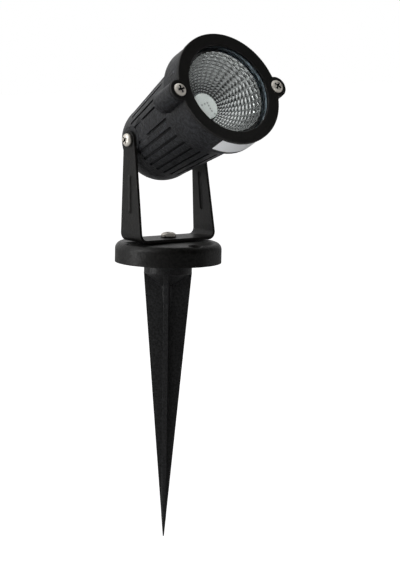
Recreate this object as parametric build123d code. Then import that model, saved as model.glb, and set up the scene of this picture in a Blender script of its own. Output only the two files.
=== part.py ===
from build123d import *
import math
import os

# Garden spike spotlight. Millimetres, +Z up.
# Origin: centre of the base disc's underside, at the top of the spike.
# The tilt axis runs along X, and the lamp faces -Y, tilted up at rest.

# ---------------------------------------------------------------- driving sizes

# base disc
disc_r = 30.0
disc_shoulder_z = 11.3
disc_shoulder_round = 3.75
disc_seat_z = 11.9
disc_seat_r = 9.0
disc_wall = 2.6
disc_top_wall = 3.2
disc_boss_wall = 1.0
mount_edge = 5.0
mount_hole_r = 2.25
mount_sink_r = 4.2
mount_boss_r = 4.6
disc_rib_t = 2.0
disc_rib_low_z = 2.0

# spike
spike_length = 157.4
spike_collar_r = 13.5
spike_collar_h = 6.0
spike_cone_h = 7.5
spike_core_r = 3.6
spike_core_share = 0.25
spike_flange_t = 2.8
spike_flange_out = 0.4
spike_tip_r = 0.3
spike_tip_out = 0.05
spike_turn = 49.0
peg_r = 1.5
peg_h = 3.0
peg_offset = 9.0
insert_r = 3.1
insert_length = 11.0
insert_recess = 0.6
insert_grooves = (3.5, 7.5)
insert_groove_w = 0.8
insert_groove_depth = 0.4
insert_thread_gap = 0.02

# screws with a cross recess: radii of shank, head and recess
base_screw_r = 2.0
base_screw_head_r = 4.2
base_screw_head_h = 2.2
base_screw_length = 24.0
base_recess_r = 2.5
base_screw_turn = 32.0
tilt_screw_r = 2.0
tilt_screw_head_r = 3.6
tilt_screw_head_h = 2.2
tilt_screw_length = 9.0
tilt_recess_r = 2.1
tilt_screw_turns = ((-1, 8.0), (1, 40.0))
bezel_screw_r = 1.6
bezel_screw_head_r = 3.9
bezel_screw_head_h = 2.4
bezel_screw_length = 14.0
bezel_recess_r = 2.3
bezel_screw_turns = ((-1, 12.0), (1, 48.0))
plate_screw_r = 1.25
plate_screw_head_r = 2.3
plate_screw_head_h = 1.6
plate_screw_length = 8.0
plate_recess_r = 1.3
board_screw_r = 1.0
board_screw_head_r = 1.7
board_screw_head_h = 1.0
board_screw_length = 4.2
board_recess_r = 0.9
thread_clearance = 0.05
running_clearance = 0.06
plain_clearance = 0.2
screw_end_gap = 1.0

# shape of every screw, as shares of its head's height or of a radius
head_side_share = 0.45
dome_height_share = 0.86
dome_radius_share = 0.75
flat_top_share = 0.45
recess_wing_share = 0.46
recess_depth_share = 0.62
recess_taper = 14.0
recess_past = 0.1
point_share = 0.35

# washers
swivel_washer_t = 0.5
swivel_washer_r = 8.0
swivel_washer_clearance = 0.3
lock_washer_t = 0.6
lock_washer_r = 4.2
lock_washer_turn = 200.0
tilt_washer_t = 0.5
tilt_washer_r = 3.9
washer_clearance = 0.15
washer_cut_w = 0.5
washer_cut_slant = 35.0

# bracket
bracket_t = 1.5
bracket_spread = 1.55
bracket_bend_r = 3.2
bracket_base_w = 19.0
bracket_top_r = 4.9
bracket_crank_drop = 8.1
bead_length = 22.0
bead_lift = 1.55
bead_r = 1.6
bead_rise = 0.8
bead_hollow_r = 1.2

# tilt axis and the lamp's angle at rest
pivot_y = 5.6
pivot_z = 69.1
rest_angle = 28.8

# head: places marked s are measured along its own axis from the tilt axis
front_s = 66.5
bezel_r = 32.9
bezel_t = 2.0
bezel_lip = 1.6
bezel_lip_reach = 2.2
bezel_edge_round = 0.4
bezel_inner_round = 0.5
ear_reach = 0.5
ear_r = 5.95
screw_sink = 1.2
screw_sink_clearance = 0.45
band_inset = 0.7
band_length = 14.5
band_step = 1.6
band_chamfer = 0.5
cone_inset = 3.35
cone_taper = 6.45
cone_rear_s = -3.3
rear_s = -19.5
rear_flat_r = 10.0
wall_rear = 4.0
wall_side = 3.5
cavity_flat_inset = 1.0
boss_r = 6.1
boss_tail = 4.5
boss_dome_share = 0.6

# cooling grooves
groove_divisions = 32
groove_w = 1.6
groove_depth = 1.5
groove_front_gap = 9.7
groove_rear_s = 1.5
groove_rear_depth = 0.6

# tilt pads on the housing's sides, each on a round face cut across the grooves
spotface_r = 16.0
pad_out = 0.8
pad_rise = 0.2
pad_r = 7.5
pad_gap = 0.05
tilt_boss_r = 4.6

# lens
glass_t = 3.0
glass_chamfer = 0.3
gasket_leg = 0.5
gasket_side = 1.2
gasket_lap = 1.8
seat_wall = 3.0
seat_clearance = 0.15

# reflector
reflector_flange_inset = 2.0
reflector_flange_w = 1.9
reflector_flange_t = 0.9
reflector_wall = 0.8
reflector_depth = 20.4
reflector_throat_r = 8.2
reflector_bulge = 2.1
bowl_clearance = 0.4
bowl_room_gap = 1.7

# light source
plate_inset = 5.25
plate_t = 3.0
plate_drop = 7.6
plate_screw_edge = 3.1
plate_screw_count = 3
plate_screw_start = 150.0
plate_boss_r = 3.0
plate_boss_past = 3.0
pad_t = 0.4
pad_size_r = 13.2
board_r = 13.6
board_t = 1.4
emitter_w = 9.0
emitter_t = 0.5
emitter_dome_r = 3.9
emitter_dome_h = 0.3
diffuser_r = 7.8
diffuser_t = 0.8
board_screw_offset = 11.0
skirt_inner_r = 7.3
skirt_gap = 0.05
lead_r = 0.8
lead_hole_r = 1.2
lead_spacing = 4.4
lead_y = 5.9
lead_tail = 3.0
solder_h = 0.7
solder_round = 0.48

# driver
case_side_gap = 0.2
case_corner_gap = 1.1
case_wall = 1.2
case_low_s = -9.5
case_front_gap = 3.0
case_corner = 3.0
lid_t = 1.5
lid_lip = 1.5
lid_lip_gap = 0.1
driver_board_side_gap = 1.3
driver_board_end_gap = 1.0
driver_board_t = 1.6
driver_board_length = 30.0
driver_board_y = -6.0
transformer_w = 12.0
transformer_h = 11.0
transformer_length = 12.0
transformer_place = 8.5
core_length_share = 0.55
winding_w_share = 0.72
winding_h_share = 0.8
capacitor_x = 4.6
capacitor_place = 11.0
capacitor_r = 3.6
capacitor_length = 11.0
small_capacitor_r = 2.5
small_capacitor_length = 9.0
case_wire_r = 3.4

# cable gland at the rear, for a 6 mm cable
cable_bore_r = 3.2
gland_bore_clearance = 0.4
gland_thread_r = 5.0
gland_thread_root = 0.5
gland_thread_past = 0.6
gland_hex_across = 11.0
gland_hex_t = 4.0
gland_ring_t = 1.0
gland_ring_r = 5.9
gland_neck_wall = 1.2
gland_neck_length = 3.0
gland_seal_length = 3.6
gland_cap_r = 5.6
gland_cap_length = 9.5
gland_cap_chamfer = 1.2
gland_grip_count = 10
gland_grip_r = 0.7
gland_grip_out = 0.35
gland_grip_low = 2.0
gland_grip_high = 0.8
gland_lock_r = 7.0
gland_lock_t = 2.0

# rating label on the band's underside
label_t = 0.12
label_length = 10.8
label_front_gap = 0.7
label_arc = 47.0
label_centre = -90.0

# how far a cutter runs past the faces that it cuts
past = 1.0

# ---------------------------------------------------------------- derived places

mount_y = disc_r - mount_edge
disc_boss_r = spike_collar_r + disc_boss_wall
plate_low_z = disc_seat_z + swivel_washer_t
plate_high_z = plate_low_z + bracket_t

band_r = bezel_r - band_inset
cone_front_r = band_r - cone_inset
cone_rear_r = cone_front_r - cone_taper
ear_offset = bezel_r + ear_reach
seam_s = front_s - bezel_t
band_rear_s = seam_s - band_length
cone_front_s = band_rear_s - band_step
cone_slope = (cone_front_r - cone_rear_r) / (cone_front_s - cone_rear_s)
boss_rear_s = band_rear_s - boss_tail
groove_front_s = band_rear_s - groove_front_gap

pad_x = cone_rear_r + pad_out
arm_inner_x = pad_x + pad_gap
arm_outer_x = arm_inner_x + bracket_t
bracket_half_low = arm_outer_x + bracket_spread
bracket_crank_z = pivot_z - bracket_crank_drop
bead_mid_z = (plate_high_z + bracket_crank_z) / 2 + bead_lift
tilt_boss_x = pad_x - tilt_screw_length - screw_end_gap

gasket_r = band_r - seat_wall
glass_r = gasket_r - gasket_side
gasket_inner_r = glass_r - gasket_lap
bezel_opening_r = glass_r - bezel_lip_reach
gasket_front_s = front_s - bezel_lip
glass_front_s = gasket_front_s - gasket_leg
glass_rear_s = glass_front_s - glass_t
gasket_seat_s = glass_rear_s - gasket_leg

reflector_flange_r = glass_r - reflector_flange_inset
reflector_rim_r = reflector_flange_r - reflector_flange_w
reflector_front_s = gasket_seat_s - seat_clearance
flange_rear_s = reflector_front_s - reflector_flange_t
reflector_floor_s = gasket_seat_s - reflector_depth
plate_r = cone_front_r - plate_inset
plate_screw_pcr = plate_r - plate_screw_edge
plate_rear_s = reflector_floor_s - plate_drop
plate_front_s = plate_rear_s + plate_t
board_rear_s = plate_front_s + pad_t
board_front_s = board_rear_s + board_t

cavity_floor_s = rear_s + wall_rear
cavity_flat_r = rear_flat_r - cavity_flat_inset
cavity_r = cone_rear_r - wall_side
# the driver case's rear corners stay clear of the cavity, which narrows as an ellipse towards its floor
case_depth_share = (cone_rear_s - case_low_s) / (cone_rear_s - cavity_floor_s)
case_room_r = cavity_flat_r + (cavity_r - cavity_flat_r) * math.sqrt(1 - case_depth_share ** 2)
case_corner_reach = case_room_r - case_corner_gap - case_corner
case_w = 2 * (tilt_boss_x - case_side_gap)
case_h = 2 * (case_corner + math.sqrt(case_corner_reach ** 2 - (case_w / 2 - case_corner) ** 2))
case_high_s = plate_rear_s - case_front_gap - lid_t
case_length = case_high_s - case_low_s
driver_board_w = case_w - 2 * (case_wall + driver_board_side_gap)
driver_board_top = driver_board_y + driver_board_t / 2

gland_bore_r = cable_bore_r + gland_bore_clearance
gland_neck_r = cable_bore_r + gland_neck_wall
gland_hex_rear_s = rear_s - gland_ring_t - gland_hex_t
gland_neck_rear_s = gland_hex_rear_s - gland_neck_length

head_plane = Plane(
    origin=(0, pivot_y, pivot_z),
    x_dir=(1, 0, 0),
    z_dir=(0, -math.cos(math.radians(rest_angle)), math.sin(math.radians(rest_angle))),
)

os.makedirs("parts", exist_ok=True)


def save(name, shape):
    """Write one piece, or one group of like pieces, under its own name."""
    export_step(shape, "parts/" + name + ".step")


def save_on_head(name, shape):
    """Write a piece that was drawn along the head's own axis."""
    save(name, shape.moved(head_plane.location))


def cylinder(radius, low, high):
    """A cylinder about Z between two heights."""
    return Pos(0, 0, low) * Cylinder(radius, high - low, align=(Align.CENTER, Align.CENTER, Align.MIN))


def tube(outer, inner, low, high):
    """A round sleeve about Z between two heights."""
    return cylinder(outer, low, high) - cylinder(inner, low - past, high + past)


def turned(points):
    """A solid of revolution about Z from (radius, height) corners."""
    profile = Plane.XZ * make_face(Polyline(*points, close=True))
    return revolve(profile, Axis.Z)


def cone_radius(s):
    """Outer radius of the housing's finned cone at a place on its axis."""
    return cone_rear_r + cone_slope * (s - cone_rear_s)


def pan_screw(shank_r, head_r, head_h, length, recess_r):
    """Pan head screw, head up, with the seat of its head at Z = 0."""
    side_h = head_h * head_side_share
    point_r = shank_r * point_share
    with BuildPart() as screw:
        with BuildSketch(Plane.XZ):
            with BuildLine():
                Polyline((0, -length), (point_r, -length), (shank_r, -length + shank_r - point_r),
                         (shank_r, 0), (head_r, 0), (head_r, side_h))
                ThreePointArc((head_r, side_h), (head_r * dome_radius_share, head_h * dome_height_share),
                              (head_r * flat_top_share, head_h))
                Polyline((head_r * flat_top_share, head_h), (0, head_h), (0, -length))
            make_face()
        revolve(axis=Axis.Z)
    wing = recess_r * recess_wing_share
    cross = Rectangle(2 * recess_r, wing) + Rectangle(wing, 2 * recess_r) + Circle(wing)
    depth = head_h * recess_depth_share
    cutter = extrude(Pos(0, 0, head_h + recess_past) * cross, amount=-depth, taper=recess_taper)
    return screw.part - cutter


def about_x(radius, low_x, high_x):
    """A cylinder about the X axis between two places on it."""
    return Pos((low_x + high_x) / 2, 0, 0) * Rot(0, 90, 0) * Cylinder(radius, abs(high_x - low_x))


# ---------------------------------------------------------------- base and spike


def make_base_disc():
    with BuildPart() as disc:
        with BuildSketch(Plane.XZ):
            with BuildLine():
                flank = disc_r - disc_shoulder_round
                low = disc_shoulder_z - disc_shoulder_round
                diagonal = disc_shoulder_round * math.sqrt(0.5)
                Polyline((0, 0), (disc_r, 0), (disc_r, low))
                ThreePointArc((disc_r, low), (flank + diagonal, low + diagonal), (flank, disc_shoulder_z))
                Polyline((flank, disc_shoulder_z), (disc_seat_r, disc_seat_z), (0, disc_seat_z), (0, 0))
            make_face()
        revolve(axis=Axis.Z)
    hollow_top = disc_shoulder_z - disc_top_wall
    hollow = tube(disc_r - disc_wall, disc_boss_r, -past, hollow_top)
    for side in (-1, 1):
        hollow -= Pos(0, side * mount_y, 0) * cylinder(mount_boss_r, -past, hollow_top)
    rib_length = 2 * (disc_r - disc_wall) + past
    for angle in (45, 135):
        rib = Rot(0, 0, angle) * Box(rib_length, disc_rib_t, hollow_top - disc_rib_low_z,
                                     align=(Align.CENTER, Align.CENTER, Align.MIN))
        hollow -= Pos(0, 0, disc_rib_low_z) * rib
    body = disc.part - hollow
    body -= cylinder(base_screw_r + thread_clearance, -past, disc_seat_z + past)
    sink_depth = mount_sink_r - mount_hole_r
    for side in (-1, 1):
        body -= Pos(0, side * mount_y, 0) * cylinder(mount_hole_r, -past, disc_seat_z + past)
        sink = turned([(0, disc_shoulder_z - sink_depth), (mount_hole_r, disc_shoulder_z - sink_depth),
                       (mount_sink_r, disc_shoulder_z), (mount_sink_r, disc_seat_z + past),
                       (0, disc_seat_z + past)])
        body -= Pos(0, side * mount_y, 0) * sink
        body -= Pos(side * peg_offset, 0, 0) * cylinder(peg_r + seat_clearance, -past, peg_h + seat_clearance)
    return body


def make_spike():
    reach = spike_length - spike_collar_h
    blade = Plane.XZ * make_face(Polyline(
        (-spike_collar_r, -spike_collar_h), (spike_collar_r, -spike_collar_h),
        (spike_tip_r, -spike_length), (-spike_tip_r, -spike_length), close=True))
    blade = extrude(blade, amount=spike_flange_t / 2, both=True)
    stem = blade + Rot(0, 0, 90) * blade
    envelope = turned([(0, 0), (spike_collar_r + spike_flange_t, 0),
                       (spike_collar_r + spike_flange_out, -spike_collar_h),
                       (spike_tip_r + spike_tip_out, -spike_length), (0, -spike_length)])
    stem &= envelope
    core_low = spike_collar_h + spike_cone_h
    core = turned([(0, -spike_collar_h), (spike_collar_r, -spike_collar_h),
                   (spike_core_r, -core_low), (0, -core_low - spike_core_share * reach)])
    body = Rot(0, 0, spike_turn) * (stem + core) + cylinder(spike_collar_r, -spike_collar_h, 0)
    body -= cylinder(insert_r, -insert_recess - insert_length, past)
    body -= cylinder(base_screw_r + thread_clearance, -base_screw_length, 0)
    for side in (-1, 1):
        body += Pos(side * peg_offset, 0, 0) * cylinder(peg_r, -past, peg_h)
    return body


def make_spike_insert():
    low = -insert_recess - insert_length
    insert = tube(insert_r, base_screw_r + insert_thread_gap, low, -insert_recess)
    for depth in insert_grooves:
        top = -insert_recess - depth
        insert -= tube(insert_r + past, insert_r - insert_groove_depth, top - insert_groove_w, top)
    return insert


def make_swivel_washer():
    hole_r = base_screw_r + swivel_washer_clearance
    return tube(swivel_washer_r, hole_r, disc_seat_z, plate_low_z)


def split_washer(outer, inner, thickness):
    """Spring washer: a flat ring with one slanting cut."""
    ring = tube(outer, inner, 0, thickness)
    cut = Rot(washer_cut_slant, 0, 0) * Box(outer, washer_cut_w, 4 * thickness)
    return ring - Pos((outer + inner) / 2, 0, thickness / 2) * cut


def make_base_lock_washer():
    washer = split_washer(lock_washer_r, base_screw_r + washer_clearance, lock_washer_t)
    return Pos(0, 0, plate_high_z) * Rot(0, 0, lock_washer_turn) * washer


def make_base_screw():
    screw = pan_screw(base_screw_r, base_screw_head_r, base_screw_head_h, base_screw_length, base_recess_r)
    return Pos(0, 0, plate_high_z + lock_washer_t) * Rot(0, 0, base_screw_turn) * screw


# ---------------------------------------------------------------- bracket


def arm_lean(z):
    """How far back the middle of an arm lies at a height."""
    return pivot_y * (z - plate_low_z) / (pivot_z - plate_low_z)


def make_bracket():
    top_z = pivot_z + bracket_top_r + past
    outer_low = bracket_half_low
    inner_low = bracket_half_low - bracket_t
    outer = Plane.XZ * make_face(Polyline(
        (-outer_low, plate_low_z), (outer_low, plate_low_z), (arm_outer_x, bracket_crank_z),
        (arm_outer_x, top_z), (-arm_outer_x, top_z), (-arm_outer_x, bracket_crank_z), close=True))
    inner = Plane.XZ * make_face(Polyline(
        (-inner_low, plate_high_z), (inner_low, plate_high_z), (arm_inner_x, bracket_crank_z),
        (arm_inner_x, top_z + past), (-arm_inner_x, top_z + past), (-arm_inner_x, bracket_crank_z),
        close=True))
    block = extrude(outer, amount=bracket_base_w, both=True)
    low_edges = block.edges().filter_by(Axis.Y).group_by(Axis.Z)[0]
    block = fillet(low_edges, bracket_bend_r + bracket_t)
    space = extrude(inner, amount=bracket_base_w + past, both=True)
    low_edges = space.edges().filter_by(Axis.Y).group_by(Axis.Z)[0]
    space = fillet(low_edges, bracket_bend_r)
    strap = block - space

    half = bracket_base_w / 2
    outline = Plane.YZ * make_face(Polyline(
        (-half, plate_low_z), (half, plate_low_z),
        (pivot_y + bracket_top_r, pivot_z), (pivot_y - bracket_top_r, pivot_z), close=True))
    outline += Plane.YZ * Pos(pivot_y, pivot_z) * Circle(bracket_top_r)
    strap &= extrude(outline, amount=bracket_half_low + past, both=True)

    for side in (-1, 1):
        strap = strap + bead(side, bead_r, bracket_t + bead_rise - bead_r)
        strap = strap - bead(side, bead_hollow_r, bead_rise - bead_hollow_r)
    hole = about_x(tilt_screw_r + running_clearance, -2 * arm_outer_x, 2 * arm_outer_x)
    strap -= Pos(0, pivot_y, pivot_z) * hole
    strap -= cylinder(base_screw_r + running_clearance, plate_low_z - past, plate_high_z + past)
    return strap


def inner_face_x(z):
    """Distance of an arm's inner face from the middle at a height."""
    inner_low = bracket_half_low - bracket_t
    share = (z - plate_high_z) / (bracket_crank_z - plate_high_z)
    return inner_low + (arm_inner_x - inner_low) * share


def bead(side, radius, stand_off):
    """Round-ended rod along an arm, its centre a stand-off outside the arm's inner face."""
    low_z = bead_mid_z - bead_length / 2 + radius
    high_z = bead_mid_z + bead_length / 2 - radius
    low = Vector(side * (inner_face_x(low_z) + stand_off), arm_lean(low_z), low_z)
    high = Vector(side * (inner_face_x(high_z) + stand_off), arm_lean(high_z), high_z)
    length = (high - low).length
    corner = radius * math.sqrt(0.5)
    with BuildPart() as rod:
        with BuildSketch(Plane.XZ):
            with BuildLine():
                ThreePointArc((0, -radius), (corner, -corner), (radius, 0))
                Line((radius, 0), (radius, length))
                ThreePointArc((radius, length), (corner, length + corner), (0, length + radius))
                Line((0, length + radius), (0, -radius))
            make_face()
        revolve(axis=Axis.Z)
    return rod.part.moved(Plane(origin=low, z_dir=high - low).location)


# ---------------------------------------------------------------- head: shell


def housing_outside():
    """Turned outside of the housing: band, finned cone and rounded rear."""
    with BuildPart() as shell:
        with BuildSketch(Plane.XZ):
            with BuildLine():
                Polyline((0, rear_s), (rear_flat_r, rear_s))
                EllipticalCenterArc((rear_flat_r, cone_rear_s), cone_rear_r - rear_flat_r,
                                    cone_rear_s - rear_s, start_angle=270, arc_size=90)
                Polyline((cone_rear_r, cone_rear_s), (cone_front_r, cone_front_s),
                         (band_r - band_chamfer, band_rear_s), (band_r, band_rear_s + band_chamfer),
                         (band_r, seam_s), (0, seam_s), (0, rear_s))
            make_face()
        revolve(axis=Axis.Z)
    return shell.part


def housing_bosses():
    """Half-round bosses for the bezel screws, with domed rear ends."""
    bosses = []
    for side in (-1, 1):
        dome_s = boss_rear_s + boss_r * boss_dome_share
        post = cylinder(boss_r, dome_s, seam_s)
        dome = Pos(0, 0, dome_s) * scale(Sphere(boss_r), by=(1, 1, boss_dome_share))
        web = Pos(-side * boss_r / 2, 0, (dome_s + seam_s) / 2) * Box(boss_r, 2 * boss_r, seam_s - dome_s)
        bosses.append(Pos(side * ear_offset, 0, 0) * (post + dome + web))
    return bosses


def housing_cavity():
    """Inside of the housing, from the lens seat to the rear."""
    bore = plate_r + seat_clearance
    inner_r = cone_radius(plate_rear_s) - wall_side - groove_depth
    bowl_room_r = reflector_rim_r + reflector_wall + bowl_clearance
    bowl_room_s = groove_front_s + bowl_room_gap
    with BuildPart() as cavity:
        with BuildSketch(Plane.XZ):
            with BuildLine():
                Polyline((0, cavity_floor_s), (cavity_flat_r, cavity_floor_s))
                EllipticalCenterArc((cavity_flat_r, cone_rear_s), cavity_r - cavity_flat_r,
                                    cone_rear_s - cavity_floor_s, start_angle=270, arc_size=90)
                Polyline((cavity_r, cone_rear_s), (inner_r, plate_rear_s), (bore, plate_rear_s),
                         (bore, bowl_room_s), (bowl_room_r, bowl_room_s + past), (bowl_room_r, flange_rear_s),
                         (reflector_flange_r + seat_clearance, flange_rear_s),
                         (reflector_flange_r + seat_clearance, gasket_seat_s),
                         (gasket_r + seat_clearance, gasket_seat_s),
                         (gasket_r + seat_clearance, seam_s + past), (0, seam_s + past), (0, cavity_floor_s))
            make_face()
        revolve(axis=Axis.Z)
    room = cavity.part
    for side in (-1, 1):
        room -= about_x(tilt_boss_r, side * tilt_boss_x, side * cone_rear_r)
    return room - plate_bosses()


def plate_bosses():
    """Posts inside the housing that take the heat plate's screws."""
    depth = plate_screw_length + plate_boss_past
    posts = []
    for x, y in plate_screw_places():
        foot = Pos(x, y, 0) * cylinder(plate_boss_r, plate_rear_s - depth, plate_rear_s)
        posts.append(foot)
    return posts


def plate_screw_places():
    """Centres of the heat plate's screws, seen along the head's axis."""
    places = []
    for k in range(plate_screw_count):
        angle = math.radians(plate_screw_start + 360 * k / plate_screw_count)
        places.append((plate_screw_pcr * math.cos(angle), plate_screw_pcr * math.sin(angle)))
    return places


def cooling_grooves():
    """Grooves along the cone, deep in front and shallow at the rear, clear of the tilt pads."""
    front_r = cone_radius(groove_front_s) - groove_depth
    rear_r = cone_radius(groove_rear_s) - groove_rear_depth
    slope = math.atan2(front_r - rear_r, groove_front_s - groove_rear_s)
    length = (groove_front_s - groove_rear_s) / math.cos(slope)
    slot = extrude(SlotOverall(length, groove_w), amount=pad_r)
    # the slot's long way is the groove's floor
    middle = ((front_r + rear_r) / 2, 0, (groove_front_s + groove_rear_s) / 2)
    lie = Plane(origin=middle, x_dir=(math.sin(slope), 0, math.cos(slope)),
                z_dir=(math.cos(slope), 0, -math.sin(slope)))
    single = slot.moved(lie.location)
    grooves = []
    for k in range(groove_divisions):
        if k % (groove_divisions // 2) != 0:
            grooves.append(Rot(0, 0, 360 * k / groove_divisions) * single)
    return grooves


def make_housing():
    body = housing_outside() - cooling_grooves()
    body += housing_bosses()
    for side in (-1, 1):
        body -= about_x(spotface_r, side * (pad_x - pad_rise), side * 2 * bezel_r)
        body += about_x(pad_r, side * tilt_boss_x, side * pad_x)
    body -= housing_cavity()
    screw_floor_s = front_s - screw_sink - bezel_screw_length - screw_end_gap
    for side in (-1, 1):
        body -= about_x(tilt_screw_r + thread_clearance, side * (tilt_boss_x + screw_end_gap),
                        side * (pad_x + past))
        body -= Pos(side * ear_offset, 0, 0) * cylinder(
            bezel_screw_r + thread_clearance, screw_floor_s, seam_s + past)
    for x, y in plate_screw_places():
        body -= Pos(x, y, 0) * cylinder(plate_screw_r + thread_clearance,
                                        plate_rear_s - plate_screw_length, plate_rear_s + past)
    body -= cylinder(gland_thread_r + thread_clearance, rear_s - past, rear_s + wall_rear + past)
    return body


def make_bezel():
    with BuildPart() as ring:
        with BuildSketch(Plane.XY.offset(seam_s)):
            Circle(bezel_r)
            with Locations((-ear_offset, 0), (ear_offset, 0)):
                Circle(ear_r)
            for side in (-1, 1):
                with Locations((side * (ear_offset - ear_r / 2), 0)):
                    Rectangle(ear_r, 2 * ear_r)
        extrude(amount=bezel_t)
        front_edges = ring.edges().group_by(Axis.Z)[-1]
        fillet(front_edges, bezel_edge_round)
    body = ring.part
    body -= cylinder(bezel_opening_r, seam_s - past, front_s + past)
    body -= cylinder(gasket_r + seat_clearance, seam_s - past, gasket_front_s)
    front_circles = body.edges().filter_by(GeomType.CIRCLE).group_by(Axis.Z)[-1]
    opening_edge = front_circles.sort_by(lambda edge: abs(edge.radius - bezel_opening_r))[0]
    body = fillet(opening_edge, bezel_inner_round)
    for side in (-1, 1):
        body -= Pos(side * ear_offset, 0, 0) * cylinder(
            bezel_screw_r + plain_clearance, seam_s - past, front_s + past)
        body -= Pos(side * ear_offset, 0, 0) * cylinder(
            bezel_screw_head_r + screw_sink_clearance, front_s - screw_sink, front_s + past)
    return body


def make_bezel_screws():
    screw = pan_screw(bezel_screw_r, bezel_screw_head_r, bezel_screw_head_h, bezel_screw_length,
                      bezel_recess_r)
    screws = []
    for side, turn in bezel_screw_turns:
        screws.append(Pos(side * ear_offset, 0, front_s - screw_sink) * Rot(0, 0, turn) * screw)
    return Compound(screws)


def make_glass_lens():
    disc = cylinder(glass_r, glass_rear_s, glass_front_s)
    return chamfer(disc.edges().filter_by(GeomType.CIRCLE), glass_chamfer)


def make_lens_gasket():
    ring = tube(gasket_r, gasket_inner_r, gasket_seat_s, gasket_front_s)
    return ring - cylinder(glass_r, glass_rear_s, glass_front_s)


# ---------------------------------------------------------------- head: light source


def bowl_side(offset):
    """The bowl's side, from its throat to its rim, moved outwards by an offset."""
    low = (reflector_throat_r + offset, reflector_floor_s)
    high = (reflector_rim_r + offset, reflector_front_s)
    middle = ((low[0] + high[0]) / 2 + reflector_bulge, (low[1] + high[1]) / 2 - reflector_bulge)
    return low, middle, high


def make_reflector():
    inner = bowl_side(0)
    outer = bowl_side(reflector_wall)
    with BuildPart() as bowl:
        with BuildSketch(Plane.XZ):
            with BuildLine():
                ThreePointArc(*inner)
                Line(inner[2], outer[2])
                ThreePointArc(*outer)
                Line(outer[0], inner[0])
            make_face()
        revolve(axis=Axis.Z)
    flange = tube(reflector_flange_r, reflector_rim_r + reflector_wall / 2, flange_rear_s, reflector_front_s)
    skirt = tube(reflector_throat_r + reflector_wall, skirt_inner_r, board_front_s + skirt_gap,
                 reflector_floor_s)
    return bowl.part + flange + skirt


def make_led_diffuser():
    return cylinder(diffuser_r, reflector_floor_s, reflector_floor_s + diffuser_t)


def make_led_board():
    disc = cylinder(board_r, board_rear_s, board_front_s)
    for side in (-1, 1):
        disc -= Pos(side * board_screw_offset, 0, 0) * cylinder(
            board_screw_r + plain_clearance, board_rear_s - past, board_front_s + past)
    return disc - lead_holes(board_rear_s - past, board_front_s + past)


def make_thermal_pad():
    disc = cylinder(pad_size_r, plate_front_s, board_rear_s)
    for side in (-1, 1):
        disc -= Pos(side * board_screw_offset, 0, 0) * cylinder(
            board_screw_r + 2 * plain_clearance, plate_front_s - past, board_rear_s + past)
    return disc - lead_holes(plate_front_s - past, board_rear_s + past)


def make_led_emitter():
    top_s = board_front_s + emitter_t
    base = Pos(0, 0, board_front_s + emitter_t / 2) * Box(emitter_w, emitter_w, emitter_t)
    return base + cylinder(emitter_dome_r, board_front_s, top_s + emitter_dome_h)


def make_heat_plate():
    disc = cylinder(plate_r, plate_rear_s, plate_front_s)
    for x, y in plate_screw_places():
        disc -= Pos(x, y, 0) * cylinder(plate_screw_r + plain_clearance, plate_rear_s - past,
                                        plate_front_s + past)
    for side in (-1, 1):
        disc -= Pos(side * board_screw_offset, 0, 0) * cylinder(
            board_screw_r + thread_clearance, plate_rear_s - past, plate_front_s + past)
    return disc - lead_holes(plate_rear_s - past, plate_front_s + past)


def make_plate_screws():
    screw = pan_screw(plate_screw_r, plate_screw_head_r, plate_screw_head_h, plate_screw_length,
                      plate_recess_r)
    return Compound([Pos(x, y, plate_front_s) * screw for x, y in plate_screw_places()])


def make_board_screws():
    screw = pan_screw(board_screw_r, board_screw_head_r, board_screw_head_h, board_screw_length,
                      board_recess_r)
    places = [side * board_screw_offset for side in (-1, 1)]
    return Compound([Pos(x, 0, board_front_s) * screw for x in places])


def lead_places():
    """Centres of the two wires, seen along the head's axis."""
    return [(side * lead_spacing / 2, lead_y) for side in (-1, 1)]


def lead_holes(low, high):
    """Cutters for the holes that the wires pass through."""
    return [Pos(x, y, 0) * cylinder(lead_hole_r, low, high) for x, y in lead_places()]


def make_led_leads():
    """Two wires from the driver up through the heat plate, each ending in a solder bead."""
    wires = []
    for x, y in lead_places():
        wire = cylinder(lead_r, case_high_s - lead_tail, board_front_s)
        solder = cylinder(lead_r, board_front_s, board_front_s + solder_h)
        wires.append(Pos(x, y, 0) * (wire + fillet(solder.edges().group_by(Axis.Z)[-1], solder_round)))
    return Compound(wires)


# ---------------------------------------------------------------- head: driver


def case_outline(inset):
    """The driver case's outline, drawn in by an inset, seen along the head's axis."""
    return RectangleRounded(case_w - 2 * inset, case_h - 2 * inset, case_corner - inset)


def make_driver_case():
    outer = extrude(Pos(0, 0, case_low_s) * case_outline(0), amount=case_length)
    inner = extrude(Pos(0, 0, case_low_s + case_wall) * case_outline(case_wall), amount=case_length)
    return outer - inner - cylinder(case_wire_r, case_low_s - past, case_low_s + case_wall + past)


def make_driver_lid():
    lid = extrude(Pos(0, 0, case_high_s) * case_outline(0), amount=lid_t)
    lip = extrude(Pos(0, 0, case_high_s - lid_lip) * case_outline(case_wall + lid_lip_gap), amount=lid_lip)
    return lid + lip - lead_holes(case_high_s - lid_lip - past, case_high_s + lid_t + past)


def make_driver_board():
    middle_s = case_low_s + case_wall + driver_board_end_gap + driver_board_length / 2
    return Pos(0, driver_board_y, middle_s) * Box(driver_board_w, driver_board_t, driver_board_length)


def make_driver_transformer():
    core = Box(transformer_w, transformer_h, transformer_length * core_length_share)
    winding = Box(transformer_w * winding_w_share, transformer_h * winding_h_share, transformer_length)
    middle_s = case_low_s + case_wall + transformer_place
    # the winding stands a little off the board, inside the core
    return Pos(0, driver_board_top + transformer_h / 2, middle_s) * (core + winding)


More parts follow.
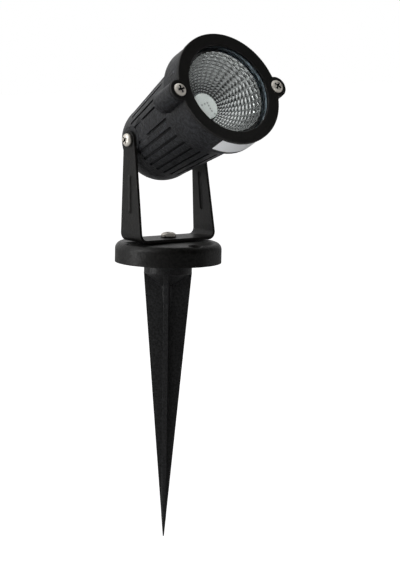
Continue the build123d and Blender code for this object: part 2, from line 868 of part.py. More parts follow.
def make_driver_capacitors():
    parts = []
    for x, radius, length in ((-capacitor_x, capacitor_r, capacitor_length),
                              (capacitor_x, small_capacitor_r, small_capacitor_length)):
        can = Rot(90, 0, 0) * Cylinder(radius, length)
        parts.append(Pos(x, driver_board_top + length / 2, case_high_s - capacitor_place) * can)
    return Compound(parts)


# ---------------------------------------------------------------- head: cable gland


def make_gland_body():
    hex_front_s = rear_s - gland_ring_t
    outline = RegularPolygon(gland_hex_across / 2, 6, major_radius=False)
    flange = extrude(Pos(0, 0, gland_hex_rear_s) * outline, amount=gland_hex_t)
    spigot_front_s = rear_s + wall_rear + gland_lock_t + gland_thread_past
    spigot = cylinder(gland_thread_r, hex_front_s - gland_thread_root, spigot_front_s)
    neck = cylinder(gland_neck_r, gland_neck_rear_s, gland_hex_rear_s)
    body = flange + spigot + neck
    return body - cylinder(gland_bore_r, gland_neck_rear_s - past, spigot_front_s + past)


def make_gland_ring():
    return tube(gland_ring_r, gland_thread_r, rear_s - gland_ring_t, rear_s)


def make_gland_seal():
    return tube(gland_neck_r, cable_bore_r, gland_neck_rear_s - gland_seal_length, gland_neck_rear_s)


def make_gland_cap():
    low_s = gland_hex_rear_s - gland_cap_length
    body = cylinder(gland_cap_r, low_s, gland_hex_rear_s)
    body = chamfer(body.edges().filter_by(GeomType.CIRCLE).group_by(Axis.Z)[0], gland_cap_chamfer)
    room_low_s = gland_neck_rear_s - gland_seal_length
    body -= cylinder(gland_neck_r + thread_clearance, room_low_s, gland_hex_rear_s + past)
    body -= cylinder(cable_bore_r, low_s - past, gland_hex_rear_s + past)
    notch = Pos(gland_cap_r + gland_grip_out, 0, 0) * cylinder(
        gland_grip_r, low_s + gland_grip_low, gland_hex_rear_s - gland_grip_high)
    for k in range(gland_grip_count):
        body -= Rot(0, 0, 360 * k / gland_grip_count) * notch
    return body


def make_gland_locknut():
    low_s = rear_s + wall_rear
    nut = extrude(Pos(0, 0, low_s) * RegularPolygon(gland_lock_r, 6), amount=gland_lock_t)
    return nut - cylinder(gland_thread_r + thread_clearance, low_s - past, low_s + gland_lock_t + past)


# ---------------------------------------------------------------- head: fixings and label


def make_tilt_screws():
    screw = pan_screw(tilt_screw_r, tilt_screw_head_r, tilt_screw_head_h,
                      tilt_screw_length + bracket_t, tilt_recess_r)
    screws = []
    for side, turn in tilt_screw_turns:
        seat = Pos(side * (arm_outer_x + tilt_washer_t), 0, 0) * Rot(0, side * 90, 0)
        screws.append(seat * Rot(0, 0, turn) * screw)
    return Compound(screws)


def make_tilt_washers():
    washer = split_washer(tilt_washer_r, tilt_screw_r + washer_clearance, tilt_washer_t)
    washers = []
    for side in (-1, 1):
        washers.append(Pos(side * arm_outer_x, 0, 0) * Rot(0, side * 90, 0) * washer)
    return Compound(washers)


def make_rating_label():
    high_s = seam_s - label_front_gap
    band = tube(band_r + label_t, band_r, high_s - label_length, high_s)
    reach = 2 * band_r
    half = math.radians(label_arc / 2)
    wedge = make_face(Polyline((0, 0), (reach * math.cos(half), -reach * math.sin(half)), (2 * reach, 0),
                               (reach * math.cos(half), reach * math.sin(half)), close=True))
    wedge = extrude(Pos(0, 0, high_s - label_length - past) * wedge, amount=label_length + 2 * past)
    return band & (Rot(0, 0, label_centre) * wedge)


# ---------------------------------------------------------------- all pieces

base_pieces = {
    "base_disc": make_base_disc,
    "spike": make_spike,
    "spike_insert": make_spike_insert,
    "swivel_washer": make_swivel_washer,
    "base_lock_washer": make_base_lock_washer,
    "base_screw": make_base_screw,
    "bracket": make_bracket,
}

head_pieces = {
    "housing": make_housing,
    "bezel": make_bezel,
    "bezel_screws": make_bezel_screws,
    "glass_lens": make_glass_lens,
    "lens_gasket": make_lens_gasket,
    "reflector": make_reflector,
    "led_diffuser": make_led_diffuser,
    "led_emitter": make_led_emitter,
    "led_board": make_led_board,
    "thermal_pad": make_thermal_pad,
    "heat_plate": make_heat_plate,
    "plate_screws": make_plate_screws,
    "board_screws": make_board_screws,
    "led_leads": make_led_leads,
    "driver_case": make_driver_case,
    "driver_lid": make_driver_lid,
    "driver_board": make_driver_board,
    "driver_transformer": make_driver_transformer,
    "driver_capacitors": make_driver_capacitors,
    "gland_body": make_gland_body,
    "gland_ring": make_gland_ring,
    "gland_seal": make_gland_seal,
    "gland_cap": make_gland_cap,
    "gland_locknut": make_gland_locknut,
    "tilt_screws": make_tilt_screws,
    "tilt_washers": make_tilt_washers,
    "rating_label": make_rating_label,
}

for piece_name, make_piece in base_pieces.items():
    save(piece_name, make_piece())

for piece_name, make_piece in head_pieces.items():
    save_on_head(piece_name, make_piece())
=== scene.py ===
import math

import bmesh
import bpy
from mathutils import Matrix, Vector


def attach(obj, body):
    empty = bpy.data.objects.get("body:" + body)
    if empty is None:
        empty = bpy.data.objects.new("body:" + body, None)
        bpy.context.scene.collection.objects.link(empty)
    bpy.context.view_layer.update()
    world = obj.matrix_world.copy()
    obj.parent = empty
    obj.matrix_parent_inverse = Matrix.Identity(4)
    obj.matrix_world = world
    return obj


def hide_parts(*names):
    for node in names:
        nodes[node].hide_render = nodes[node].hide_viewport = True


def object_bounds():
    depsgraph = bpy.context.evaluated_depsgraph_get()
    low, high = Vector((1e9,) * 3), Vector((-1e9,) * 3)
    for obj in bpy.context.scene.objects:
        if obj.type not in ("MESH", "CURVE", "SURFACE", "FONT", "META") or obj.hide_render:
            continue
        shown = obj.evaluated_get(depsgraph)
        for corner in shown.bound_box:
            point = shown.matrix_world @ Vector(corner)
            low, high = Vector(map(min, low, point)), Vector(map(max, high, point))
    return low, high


# Garden spike spotlight: materials, faceted reflector, light and camera.
# Metres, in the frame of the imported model. +Z up, the lamp faces -Y.

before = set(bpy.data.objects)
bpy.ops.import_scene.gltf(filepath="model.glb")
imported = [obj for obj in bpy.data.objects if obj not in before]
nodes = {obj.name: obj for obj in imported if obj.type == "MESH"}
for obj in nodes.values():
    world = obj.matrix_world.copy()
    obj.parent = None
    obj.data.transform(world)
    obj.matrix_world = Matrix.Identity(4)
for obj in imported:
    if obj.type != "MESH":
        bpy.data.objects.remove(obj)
cad_low, cad_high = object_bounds()

MM = 0.001
MM_PER_M = 1000

# tilt axis, the lamp's angle at rest, and the head's own directions
PIVOT = Vector((0.0, 5.6, 69.1)) * MM
REST_ANGLE = math.radians(28.8)
HEAD_AXIS = Vector((0.0, -math.cos(REST_ANGLE), math.sin(REST_ANGLE)))
HEAD_UP = Vector((0.0, math.sin(REST_ANGLE), math.cos(REST_ANGLE)))
HEAD_RIGHT = Vector((1.0, 0.0, 0.0))

# camera, from a fit to the photograph
CAMERA_PLACE = Vector((-1010.2, -1344.0, 210.2)) * MM
CAMERA_HEADING = math.radians(52.45)
CAMERA_PITCH = math.radians(-7.56)
CAMERA_ROLL = math.radians(1.08)
CAMERA_LENS = 190.2
CAMERA_CLIP = (0.1, 20.0)

# cells of the light source seen through the bowl's floor: millimetres across and up from the head's axis,
# their place along it, the radius of a cell's core and of its soft edge, and how much of the grey stays
CELLS = ((-2.1, 0.8), (0.0, 1.5), (2.0, 2.05), (2.4, 0.4), (2.85, -1.4), (3.4, -2.9), (4.9, -4.7))
CELLS_S = 41.3
CELL_CORE_R, CELL_EDGE_R = 0.25, 0.85
CELL_CLEAR = 0.30

# bowl of the reflector, in millimetres: radii, and places along the head's axis
RIM_R, FLANGE_R, THROAT_R = 24.1, 26.0, 8.2
FRONT_S, FLOOR_S = 60.75, 40.5
BULGE, WALL, FLANGE_T = 2.1, 0.8, 0.9
SKIRT_INNER_R, SKIRT_LOW_S = 7.3, 37.75
WALL_STEPS = 16
WALL_TUCK = 0.3
RIM_GAP = 0.06

# its facets: how many, how much higher each row is than the one below, and each facet's crown as a share
# of its width and height. They stand a little off the curve of the side.
FACETS_ROUND, FACET_ROWS, FACET_STEPS = 36, 14, 5
ROW_GROWTH = 1.046
ROUND_PILLOW, ROW_PILLOW = 0.095, 0.075
FACET_LIFT = 0.02

# floor, in metres: half its side, its gap under the spike's tip, and where its shadowed middle ends
FLOOR_HALF = 3.0
FLOOR_GAP = 0.0005
FLOOR_NEAR, FLOOR_FAR = 0.25, 1.2

# strength of the floor and the world: as mirrored, and as it lights the object
FLOOR_MIRRORED = 0.12
WORLD_DIFFUSE = 0.07
# what surfaces mirror falls from the bright side to the dim one, between two cosines
FALL_LOW, FALL_HIGH = -0.40, 0.60
DIM_SIDE, BRIGHT_SIDE = 0.01, 0.75
# the bowl mirrors the same, raised, and a screen overhead with its edge at these cosines
BOWL_RAISE = 2.6
SCREEN_OUT, SCREEN_IN = 0.45, 0.55


def on_head(x, y, s):
    """A point given in millimetres across, up and along the head's own axis."""
    return PIVOT + (HEAD_RIGHT * x + HEAD_UP * y + HEAD_AXIS * s) * MM


def rgb(red, green, blue):
    return (red, green, blue, 1.0)


def shade(colour, share):
    """A darker or lighter version of a colour."""
    return rgb(*[c * share for c in colour])


WHITE = rgb(1.0, 1.0, 1.0)


# ---------------------------------------------------------------- node helpers


class Nodes:
    """A node tree, with short calls for the nodes that the materials and the world share."""

    def __init__(self, tree):
        self.tree = tree
        self.tree.nodes.clear()

    def set(self, socket, value):
        """Link a socket, or set its value."""
        if isinstance(value, bpy.types.NodeSocket):
            self.tree.links.new(value, socket)
        else:
            socket.default_value = value

    def node(self, kind, inputs=None, **settings):
        made = self.tree.nodes.new("ShaderNode" + kind)
        for key, value in settings.items():
            setattr(made, key, value)
        for key, value in (inputs or {}).items():
            self.set(made.inputs[key], value)
        return made

    def spread(self, value, low, high, to_low, to_high):
        """A value's range from low to high, moved to another range and clamped."""
        made = self.node("MapRange", {"Value": value, "From Min": low, "From Max": high,
                                      "To Min": to_low, "To Max": to_high})
        return made.outputs["Result"]

    def math(self, operation, first, second):
        return self.node("Math", {0: first, 1: second}, operation=operation).outputs[0]

    def dot(self, first, second):
        made = self.node("VectorMath", {0: first, 1: second}, operation="DOT_PRODUCT")
        return made.outputs["Value"]


class Shader(Nodes):
    """A material's node tree."""

    def __init__(self, name):
        self.material = bpy.data.materials.new(name)
        self.material.use_nodes = True
        super().__init__(self.material.node_tree)
        self.output = self.node("OutputMaterial")

    def place(self, stretch=(1.0, 1.0, 1.0)):
        """Object coordinates in metres, stretched."""
        coords = self.node("TexCoord")
        mapping = self.node("Mapping", {"Vector": coords.outputs["Object"], "Scale": stretch})
        return mapping.outputs["Vector"]

    def noise(self, scale, detail=2.0, roughness=0.5, distortion=0.0, vector=None):
        made = self.node("TexNoise", {"Scale": scale, "Detail": detail, "Roughness": roughness,
                                      "Distortion": distortion, "Vector": vector or self.place()})
        return made.outputs["Fac"]

    def cells(self, scale):
        return self.node("TexVoronoi", {"Scale": scale, "Vector": self.place()}).outputs["Distance"]

    def weighted(self, first, first_share, second, second_share):
        """The sum of two values, each times its share."""
        return self.math("ADD", self.math("MULTIPLY", first, first_share),
                         self.math("MULTIPLY", second, second_share))

    def blend(self, factor, first, second):
        """One colour mixed into another."""
        return self.node("Mix", {0: factor, 6: first, 7: second}, data_type="RGBA").outputs[2]

    def bump(self, height, strength, depth_mm, normal=None):
        made = self.node("Bump", {"Height": height, "Strength": strength, "Distance": depth_mm * MM})
        if normal is not None:
            self.set(made.inputs["Normal"], normal)
        return made.outputs["Normal"]

    def round_edges(self, radius_mm):
        """A normal that is turned smoothly across sharp edges."""
        return self.node("Bevel", {"Radius": radius_mm * MM}, samples=4).outputs["Normal"]

    def edge_mask(self, rounded):
        """1 along sharp edges and 0 on faces."""
        geometry = self.node("NewGeometry")
        turned = self.math("SUBTRACT", 1.0, self.dot(rounded, geometry.outputs["Normal"]))
        return self.spread(turned, 0.02, 0.25, 0.0, 1.0)

    def hollows(self, reach_mm, low, high):
        """0 deep in narrow hollows and 1 on open faces."""
        made = self.node("AmbientOcclusion", {"Distance": reach_mm * MM}, samples=8)
        return self.spread(made.outputs["AO"], low, high, 0.0, 1.0)

    def principled(self, colour, roughness, normal=None, **inputs):
        made = self.node("BsdfPrincipled", {"Base Color": colour, "Roughness": roughness})
        if normal is not None:
            self.set(made.inputs["Normal"], normal)
        for key, value in inputs.items():
            made.inputs[key.replace("_", " ")].default_value = value
        return made.outputs[0]

    def finish(self, surface):
        self.set(self.output.inputs["Surface"], surface)
        return self.material


def paint(node, material):
    """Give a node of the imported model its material."""
    mesh = nodes[node].data
    if not mesh.materials:
        mesh.materials.append(material)
    for k in range(len(mesh.materials)):
        mesh.materials[k] = material


# ---------------------------------------------------------------- materials


def coated_metal(name, dark, light, roughness, grain_mm, grain_depth, edge_mm, specular):
    """Powder coat: orange peel, small grains, paler edges that are partly thinner paint and partly a painted
    highlight, and dull hollows darkened with painted shade.
    """
    s = Shader(name)
    rounded = s.round_edges(edge_mm)
    fine = s.noise(MM_PER_M / grain_mm, detail=3.0, roughness=0.6)
    peel = s.noise(MM_PER_M / (grain_mm * 5))
    cloud = s.noise(45.0, detail=4.0, roughness=0.6)
    tone = s.weighted(s.spread(fine, 0.42, 0.62, 0.0, 1.0), 0.75, cloud, 0.25)
    colour = s.blend(tone, rgb(*dark), rgb(*light))
    # paler edges: partly wear where the coat is thin, partly a painted highlight along the edges
    worn_and_highlit_edges = s.math("MULTIPLY", s.edge_mask(rounded), s.spread(cloud, 0.42, 0.6, 0.25, 0.9))
    colour = s.blend(worn_and_highlit_edges, colour, shade(light, 1.8))
    # painted shade: hollows darkened towards near black, and also made rougher
    shade_and_dull_mask = s.hollows(2.5, 0.35, 0.85)
    colour = s.blend(shade_and_dull_mask, shade(dark, 0.3), colour)
    rough = s.spread(s.weighted(fine, 0.5, cloud, 0.5), 0.35, 0.65, roughness - 0.07, roughness + 0.07)
    rough = s.math("ADD", rough, s.spread(shade_and_dull_mask, 0.0, 1.0, 0.35, 0.0))
    normal = s.bump(peel, 0.35, grain_depth * 2, rounded)
    normal = s.bump(fine, 0.85, grain_depth, normal)
    return s.finish(s.principled(colour, rough, normal, Specular_IOR_Level=specular))


def moulded_plastic(name, dark, light, roughness, grain_mm, grain_depth, edge_mm=0.3, specular=0.5):
    """Spark-eroded mould texture: small shallow pits with a slight sheen on the land between them."""
    s = Shader(name)
    rounded = s.round_edges(edge_mm)
    pits = s.cells(MM_PER_M / grain_mm)
    fine = s.noise(MM_PER_M / grain_mm * 1.7, detail=3.0, roughness=0.65)
    cloud = s.noise(60.0, detail=3.0)
    mixed = s.weighted(pits, 0.7, fine, 0.5)
    colour = s.blend(s.spread(mixed, 0.3, 0.85, 0.0, 1.0), rgb(*dark), rgb(*light))
    rough = s.spread(cloud, 0.35, 0.65, roughness - 0.05, roughness + 0.06)
    normal = s.bump(mixed, 0.45, grain_depth, rounded)
    return s.finish(s.principled(colour, rough, normal, Specular_IOR_Level=specular))


def plated_steel(name, tint, roughness):
    """Nickel plate: faint turning marks, small scratches, and painted shade darkening the recess and the
    foot of the head.
    """
    s = Shader(name)
    rounded = s.round_edges(0.12)
    scratches = s.noise(900.0, detail=4.0, roughness=0.7, vector=s.place((1.0, 1.0, 7.0)))
    cloud = s.noise(350.0)
    rough = s.spread(scratches, 0.35, 0.7, roughness - 0.08, roughness + 0.12)
    colour = s.blend(cloud, shade(tint, 0.82), rgb(*tint))
    # painted shade: the recess and the head's foot darkened to near black
    colour = s.blend(s.hollows(1.4, 0.72, 0.95), rgb(0.006, 0.005, 0.005), colour)
    normal = s.bump(scratches, 0.15, 0.01, rounded)
    return s.finish(s.principled(colour, rough, normal, Metallic=0.7))


def bright_reflector(name):
    """Vacuum-metallised plastic: near mirror, with a slight haze."""
    s = Shader(name)
    haze = s.noise(260.0, detail=3.0)
    colour = s.blend(haze, rgb(0.80, 0.81, 0.80), rgb(0.90, 0.905, 0.90))
    rough = s.spread(haze, 0.3, 0.7, 0.025, 0.06)
    normal = s.bump(s.noise(2200.0), 0.05, 0.01)
    return s.finish(s.principled(colour, rough, normal, Metallic=1.0))


def cover_glass(name):
    """Clear float glass with a faint blue-green body. Lamps shine through it."""
    s = Shader(name)
    smear = s.noise(30.0, detail=4.0, roughness=0.6)
    tint = s.blend(s.spread(smear, 0.3, 0.7, 0.0, 1.0), rgb(0.955, 0.975, 0.975), rgb(0.975, 0.99, 0.99))
    rough = s.spread(smear, 0.45, 0.75, 0.0, 0.02)
    glass = s.principled(tint, rough, IOR=1.5, Transmission_Weight=1.0)
    clear = s.node("BsdfTransparent", {"Color": rgb(0.95, 0.97, 0.97)}).outputs[0]
    path = s.node("LightPath")
    through = s.math("MAXIMUM", path.outputs["Is Shadow Ray"], path.outputs["Is Diffuse Ray"])
    return s.finish(s.node("MixShader", {0: through, 1: glass, 2: clear}).outputs[0])


def silicone(name):
    """Pale silicone, a little dusty."""
    s = Shader(name)
    dust = s.noise(700.0, detail=3.0)
    colour = s.blend(dust, rgb(0.10, 0.125, 0.145), rgb(0.19, 0.225, 0.25))
    rough = s.spread(dust, 0.3, 0.7, 0.35, 0.5)
    return s.finish(s.principled(colour, rough, s.bump(dust, 0.2, 0.03)))


def frosted_disc(name):
    """Satin grey floor of the bowl, with the light source's cells faintly seen through it."""
    s = Shader(name)
    coords = s.node("TexCoord").outputs["Object"]
    clear = 1.0
    for x, y in CELLS:
        gap = s.node("VectorMath", {0: coords, 1: tuple(on_head(x, y, CELLS_S))}, operation="DISTANCE")
        cell = s.spread(gap.outputs["Value"], CELL_CORE_R * MM, CELL_EDGE_R * MM, CELL_CLEAR, 1.0)
        clear = s.math("MULTIPLY", clear, cell)
    cloud = s.noise(120.0, detail=3.0)
    colour = s.blend(cloud, rgb(0.56, 0.57, 0.55), rgb(0.68, 0.69, 0.67))
    colour = s.blend(clear, rgb(0.05, 0.05, 0.048), colour)
    rough = s.spread(cloud, 0.3, 0.7, 0.40, 0.52)
    return s.finish(s.principled(colour, rough, s.bump(s.noise(1500.0), 0.2, 0.02)))


def blank_film(name):
    """Blank white polyester film with faint ripples."""
    s = Shader(name)
    ripple = s.noise(160.0, detail=3.0, distortion=0.4)
    colour = s.blend(ripple, rgb(0.88, 0.90, 0.92), rgb(0.93, 0.945, 0.96))
    rough = s.spread(s.noise(1100.0), 0.35, 0.65, 0.36, 0.46)
    normal = s.bump(ripple, 0.12, 0.08, s.round_edges(0.1))
    return s.finish(s.principled(colour, rough, normal))


def soft_rubber(name, tint):
    """Seals, the thermal pad and the wires' jackets: dull, with a fine skin."""
    s = Shader(name)
    fine = s.noise(900.0, detail=3.0)
    colour = s.blend(fine, shade(tint, 0.75), rgb(*tint))
    rough = s.spread(fine, 0.3, 0.7, 0.55, 0.7)
    return s.finish(s.principled(colour, rough, s.bump(fine, 0.3, 0.02, s.round_edges(0.15))))


def turned_metal(name, tint, roughness):
    """Machined metal: fine rings from the tool."""
    s = Shader(name)
    marks = s.noise(4000.0, vector=s.place((0.15, 0.15, 1.0)))
    cloud = s.noise(200.0, detail=3.0)
    colour = s.blend(cloud, shade(tint, 0.85), rgb(*tint))
    rough = s.spread(marks, 0.3, 0.7, roughness - 0.06, roughness + 0.08)
    normal = s.bump(marks, 0.2, 0.01, s.round_edges(0.15))
    return s.finish(s.principled(colour, rough, normal, Metallic=1.0))


def plain_inside(name, dark, light, roughness, scale):
    """Plastic and electronic parts inside the head."""
    s = Shader(name)
    fine = s.noise(scale, detail=3.0)
    colour = s.blend(s.spread(fine, 0.35, 0.65, 0.0, 1.0), rgb(*dark), rgb(*light))
    rough = s.spread(fine, 0.3, 0.7, roughness - 0.06, roughness + 0.08)
    return s.finish(s.principled(colour, rough, s.bump(fine, 0.25, 0.02, s.round_edges(0.2))))


disc_black = coated_metal(
    "disc_black", dark=(0.0035, 0.0033, 0.0030), light=(0.0130, 0.0124, 0.0116), roughness=0.40,
    grain_mm=1.50, grain_depth=0.30, edge_mm=0.35, specular=0.25)
strap_black = coated_metal(
    "strap_black", dark=(0.0035, 0.0033, 0.0030), light=(0.0110, 0.0105, 0.0098), roughness=0.43,
    grain_mm=1.50, grain_depth=0.25, edge_mm=0.35, specular=0.25)
housing_black = coated_metal(
    "housing_black", dark=(0.0020, 0.0022, 0.0028), light=(0.0260, 0.0272, 0.0315), roughness=0.44,
    grain_mm=1.60, grain_depth=0.60, edge_mm=0.35, specular=0.30)
bezel_black = coated_metal(
    "bezel_black", dark=(0.0040, 0.0039, 0.0037), light=(0.0080, 0.0077, 0.0073), roughness=0.48,
    grain_mm=1.20, grain_depth=0.03, edge_mm=0.25, specular=0.30)
spike_black = moulded_plastic(
    "spike_black", dark=(0.0030, 0.0031, 0.0033), light=(0.0300, 0.0305, 0.0318), roughness=0.42,
    grain_mm=1.20, grain_depth=0.30, edge_mm=0.5, specular=0.34)
gland_black = moulded_plastic(
    "gland_black", dark=(0.010, 0.010, 0.010), light=(0.020, 0.020, 0.020), roughness=0.42,
    grain_mm=0.60, grain_depth=0.015)
phosphor = plain_inside("phosphor", (0.72, 0.60, 0.20), (0.84, 0.74, 0.34), 0.45, 1200.0)
board_white = plain_inside("board_white", (0.66, 0.66, 0.65), (0.76, 0.76, 0.75), 0.42, 500.0)
case_grey = plain_inside("case_grey", (0.60, 0.60, 0.58), (0.68, 0.68, 0.66), 0.45, 400.0)
circuit_green = plain_inside("circuit_green", (0.02, 0.15, 0.06), (0.03, 0.22, 0.09), 0.32, 900.0)
transformer_tape = plain_inside("transformer_tape", (0.50, 0.36, 0.05), (0.62, 0.46, 0.08), 0.4, 300.0)
capacitor_sleeve = plain_inside("capacitor_sleeve", (0.02, 0.025, 0.05), (0.04, 0.05, 0.09), 0.3, 300.0)

finishes = {
    disc_black: ["base_disc"],
    strap_black: ["bracket"],
    housing_black: ["housing"],
    bezel_black: ["bezel"],
    spike_black: ["spike"],
    gland_black: ["gland_body", "gland_cap", "gland_locknut"],
    plated_steel("nickel", (0.90, 0.85, 0.77), 0.42): ["base_screw", "tilt_screws", "bezel_screws"],
    plated_steel("washer_steel", (0.70, 0.66, 0.60), 0.40): ["base_lock_washer", "tilt_washers",
                                                             "plate_screws", "board_screws"],
    cover_glass("cover_glass"): ["glass_lens"],
    silicone("silicone"): ["lens_gasket"],
    frosted_disc("frosted_disc"): ["led_diffuser"],
    blank_film("blank_film"): ["rating_label"],
    soft_rubber("seal_rubber", (0.020, 0.020, 0.020)): ["gland_ring", "gland_seal"],
    soft_rubber("nylon_black", (0.030, 0.030, 0.030)): ["swivel_washer"],
    soft_rubber("thermal_grey", (0.24, 0.26, 0.28)): ["thermal_pad"],
    soft_rubber("wire_red", (0.45, 0.03, 0.025)): ["led_leads"],
    turned_metal("brass", (0.78, 0.58, 0.26), 0.30): ["spike_insert"],
    turned_metal("plate_aluminium", (0.78, 0.79, 0.80), 0.34): ["heat_plate"],
    board_white: ["led_board"],
    phosphor: ["led_emitter"],
    case_grey: ["driver_case", "driver_lid"],
    circuit_green: ["driver_board"],
    transformer_tape: ["driver_transformer"],
    capacitor_sleeve: ["driver_capacitors"],
}
for material, members in finishes.items():
    for member in members:
        paint(member, material)


# ---------------------------------------------------------------- faceted reflector


def through_three(first, middle, last):
    """Centre and radius of the circle through three points."""
    (ax, ay), (bx, by), (cx, cy) = first, middle, last
    d = 2 * (ax * (by - cy) + bx * (cy - ay) + cx * (ay - by))
    a2, b2, c2 = ax * ax + ay * ay, bx * bx + by * by, cx * cx + cy * cy
    x = (a2 * (by - cy) + b2 * (cy - ay) + c2 * (ay - by)) / d
    y = (a2 * (cx - bx) + b2 * (ax - cx) + c2 * (bx - ax)) / d
    return x, y, math.hypot(ax - x, ay - y)


def bowl_curve(share, offset=0.0):
    """Radius and place along the axis of the bowl's side, from its throat at 0 to its rim at 1."""
    low, high = (THROAT_R, FLOOR_S), (RIM_R, FRONT_S)
    middle = ((low[0] + high[0]) / 2 + BULGE, (low[1] + high[1]) / 2 - BULGE)
    x, y, radius = through_three(low, middle, high)
    start = math.atan2(low[1] - y, low[0] - x)
    end = math.atan2(high[1] - y, high[0] - x)
    angle = start + (end - start) * share
    return x + (radius + offset) * math.cos(angle), y + (radius + offset) * math.sin(angle)


def round_axis(radius, turn, s):
    """A point at a radius from the head's axis, at a place along it."""
    return on_head(radius * math.cos(turn), radius * math.sin(turn), s)


def crown(share):
    """0 at both ends of a span and 1 in its middle."""
    return 4 * share * (1 - share)


def add_facet(mesh, low, high, place):
    """One pillowed facet, between two shares of the bowl's side."""
    width = 2 * math.pi * bowl_curve((low + high) / 2)[0] / FACETS_ROUND
    height = math.dist(bowl_curve(low), bowl_curve(high))
    grid = []
    for i in range(FACET_STEPS + 1):
        up = i / FACET_STEPS
        line = []
        for j in range(FACET_STEPS + 1):
            across = j / FACET_STEPS
            turn = 2 * math.pi * (place + across) / FACETS_ROUND
            lift = width * ROUND_PILLOW * crown(across) + height * ROW_PILLOW * crown(up) + FACET_LIFT
            radius, s = bowl_curve(low + (high - low) * up, -lift)
            line.append(mesh.verts.new(round_axis(radius, turn, s)))
        grid.append(line)
    for i in range(FACET_STEPS):
        for j in range(FACET_STEPS):
            face = mesh.faces.new((grid[i][j], grid[i][j + 1], grid[i + 1][j + 1], grid[i + 1][j]))
            face.smooth = True


def back_outline():
    """Radii and places of the skirt, the outer wall and the flange, from the floor round to the rim."""
    flange_back = FRONT_S - FLANGE_T
    wall = [bowl_curve(k / WALL_STEPS, WALL) for k in range(WALL_STEPS + 1)]
    return [
        (SKIRT_INNER_R, FLOOR_S),
        (SKIRT_INNER_R, SKIRT_LOW_S),
        (THROAT_R + WALL, SKIRT_LOW_S),
        *[point for point in wall if point[1] < flange_back],
        (wall[-1][0] - WALL_TUCK, flange_back),
        (FLANGE_R, flange_back),
        (FLANGE_R, FRONT_S),
        (RIM_R + RIM_GAP, FRONT_S),
    ]


def add_back(mesh):
    """The back outline, turned round the head's axis."""
    steps = FACETS_ROUND * 2
    rings = []
    for radius, s in back_outline():
        turns = [2 * math.pi * k / steps for k in range(steps)]
        rings.append([mesh.verts.new(round_axis(radius, turn, s)) for turn in turns])
    for low, high in zip(rings, rings[1:]):
        for k in range(steps):
            after = (k + 1) % steps
            mesh.faces.new((low[after], low[k], high[k], high[after]))


def add_object(name, mesh):
    """A new object in the scene, from a finished bmesh."""
    data = bpy.data.meshes.new(name)
    mesh.to_mesh(data)
    mesh.free()
    made = bpy.data.objects.new(name, data)
    bpy.context.scene.collection.objects.link(made)
    return made


def make_reflector():
    """A bowl of pillowed facets with a scalloped rim, its outer wall, its flange and its skirt."""
    mesh = bmesh.new()
    full = ROW_GROWTH ** FACET_ROWS - 1
    shares = [(ROW_GROWTH ** k - 1) / full for k in range(FACET_ROWS + 1)]
    for low, high in zip(shares, shares[1:]):
        for place in range(FACETS_ROUND):
            add_facet(mesh, low, high, place)
    add_back(mesh)
    bowl = add_object("reflector_bowl", mesh)
    bowl.data.materials.append(bright_reflector("bright_reflector"))
    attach(bowl, "head")
    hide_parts("reflector")


# ---------------------------------------------------------------- floor, light and camera


def camera_axes():
    """Right, up and forward of the camera."""
    level = math.cos(CAMERA_PITCH)
    forward = Vector((math.cos(CAMERA_HEADING) * level, math.sin(CAMERA_HEADING) * level,
                      math.sin(CAMERA_PITCH)))
    flat_right = Vector((math.sin(CAMERA_HEADING), -math.cos(CAMERA_HEADING), 0.0))
    flat_up = flat_right.cross(forward)
    right = flat_right * math.cos(CAMERA_ROLL) + flat_up * math.sin(CAMERA_ROLL)
    up = flat_up * math.cos(CAMERA_ROLL) - flat_right * math.sin(CAMERA_ROLL)
    return right, up, forward


RIGHT, UP, FORWARD = camera_axes()
AIM = Vector((0.0, 0.0, 20.0)) * MM


def make_floor():
    """A pale floor under the spike's tip, white to the camera with the object's shadow on it."""
    mesh = bmesh.new()
    bmesh.ops.create_grid(mesh, x_segments=8, y_segments=8, size=FLOOR_HALF)
    floor = add_object("floor", mesh)
    floor.location = (0.0, 0.0, cad_low.z - FLOOR_GAP)
    s = Shader("floor_white")
    pale = s.blend(s.noise(3.0), rgb(0.80, 0.80, 0.80), rgb(0.82, 0.82, 0.82))
    paper = s.node("BsdfDiffuse", {"Color": pale})
    path = s.node("LightPath")
    far = s.node("VectorMath", {0: s.place()}, operation="LENGTH").outputs["Value"]
    seen = s.math("MULTIPLY", path.outputs["Is Camera Ray"], s.spread(far, FLOOR_NEAR, FLOOR_FAR, 0.90, 1.0))
    mirrored = s.math("MAXIMUM", path.outputs["Is Glossy Ray"], path.outputs["Is Transmission Ray"])
    strength = s.math("ADD", seen, s.math("MULTIPLY", mirrored, FLOOR_MIRRORED))
    glow = s.node("Emission", {"Color": WHITE, "Strength": strength})
    both = s.node("AddShader", {0: paper.outputs[0], 1: glow.outputs[0]})
    floor.data.materials.append(s.finish(both.outputs[0]))


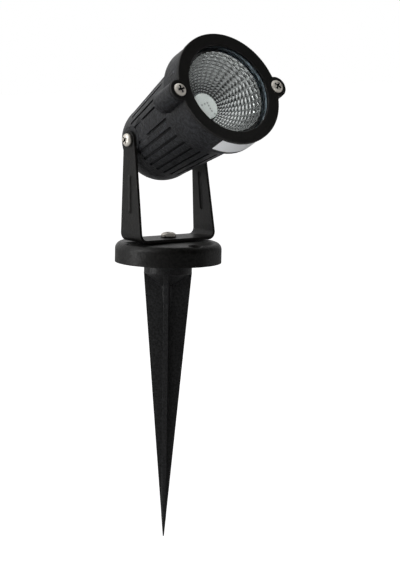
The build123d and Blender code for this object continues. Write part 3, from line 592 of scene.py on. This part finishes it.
def make_world():
    """White to the camera. Mirrors see a bright side that falls off to a dim room, never above 1."""
    world = bpy.data.worlds.new("studio")
    bpy.context.scene.world = world
    world.use_nodes = True
    n = Nodes(world.node_tree)
    ray = n.node("TexCoord").outputs["Generated"]
    bright_way = (FORWARD * 0.7 - RIGHT + UP * 0.3).normalized()
    fall = n.spread(n.dot(ray, bright_way), FALL_LOW, FALL_HIGH, DIM_SIDE, BRIGHT_SIDE)
    # the bowl, seen through the glass, also mirrors a pale screen overhead
    screen_way = (UP * 0.8 - RIGHT * 0.3 + FORWARD * 0.4).normalized()
    screen = n.spread(n.dot(ray, screen_way), SCREEN_OUT, SCREEN_IN, 0.0, 1.0)
    bowl = n.node("Math", {0: fall, 1: BOWL_RAISE, 2: screen}, operation="MULTIPLY_ADD", use_clamp=True)
    path = n.node("LightPath")
    strength = WORLD_DIFFUSE
    for kind, seen in (("Is Glossy Ray", fall), ("Is Transmission Ray", bowl.outputs[0]),
                       ("Is Camera Ray", 1.0)):
        mix = n.node("Mix", {0: path.outputs[kind], 2: strength, 3: seen}, data_type="FLOAT")
        strength = mix.outputs[0]
    back = n.node("Background", {"Color": WHITE, "Strength": strength})
    n.node("OutputWorld", {"Surface": back.outputs[0]})


def softbox(name, right, up, toward, width, height, radiance, aim=AIM):
    """An area lamp placed from the camera's point of view, aimed at a point of the object."""
    data = bpy.data.lights.new(name, "AREA")
    data.shape = "RECTANGLE"
    data.size, data.size_y = width, height
    data.energy = radiance * math.pi * width * height
    lamp = bpy.data.objects.new(name, data)
    bpy.context.scene.collection.objects.link(lamp)
    lamp.location = aim + RIGHT * right + UP * up - FORWARD * toward
    lamp.rotation_euler = (lamp.location - aim).to_track_quat("Z", "Y").to_euler()
    return lamp


def face_lamp(name, right, up, toward, size, radiance, aim, spread):
    """A small lamp with a narrow beam, for one place on the head. The bowl doesn't mirror it."""
    lamp = softbox(name, right, up, toward, size, size, radiance, aim)
    lamp.data.spread = math.radians(spread)
    lamp.visible_transmission = False
    return lamp


def make_lights():
    """Softboxes round the object, a small lamp on the label and one on the floor of the bowl."""
    softbox("key", right=-0.95, up=0.60, toward=0.45, width=0.55, height=0.60, radiance=5.0)
    face_lamp("under", right=0.10, up=-0.22, toward=1.00, size=0.05, radiance=0.45,
              aim=on_head(0.0, -32.0, 58.0), spread=3.0)
    softbox("rim", right=1.05, up=0.10, toward=-0.30, width=0.35, height=0.60, radiance=0.8)
    softbox("top", right=-0.35, up=1.15, toward=-0.20, width=0.70, height=0.40, radiance=1.4)
    softbox("low_left", right=-0.98, up=-0.30, toward=0.22, width=0.35, height=0.70, radiance=8.5)
    front = face_lamp("front", right=0.10, up=0.35, toward=1.00, size=0.10, radiance=1.0,
                      aim=on_head(0.0, 3.0, 66.0), spread=8.0)
    front.visible_glossy = False


def make_camera():
    data = bpy.data.cameras.new("camera")
    data.lens = CAMERA_LENS
    data.clip_start, data.clip_end = CAMERA_CLIP
    camera = bpy.data.objects.new("camera", data)
    bpy.context.scene.collection.objects.link(camera)
    turn = Matrix((RIGHT, UP, -FORWARD)).transposed().to_4x4()
    camera.matrix_world = Matrix.Translation(CAMERA_PLACE) @ turn
    bpy.context.scene.camera = camera


make_reflector()
make_floor()
make_world()
make_lights()
make_camera()
bpy.context.scene.view_settings.view_transform = "Standard"
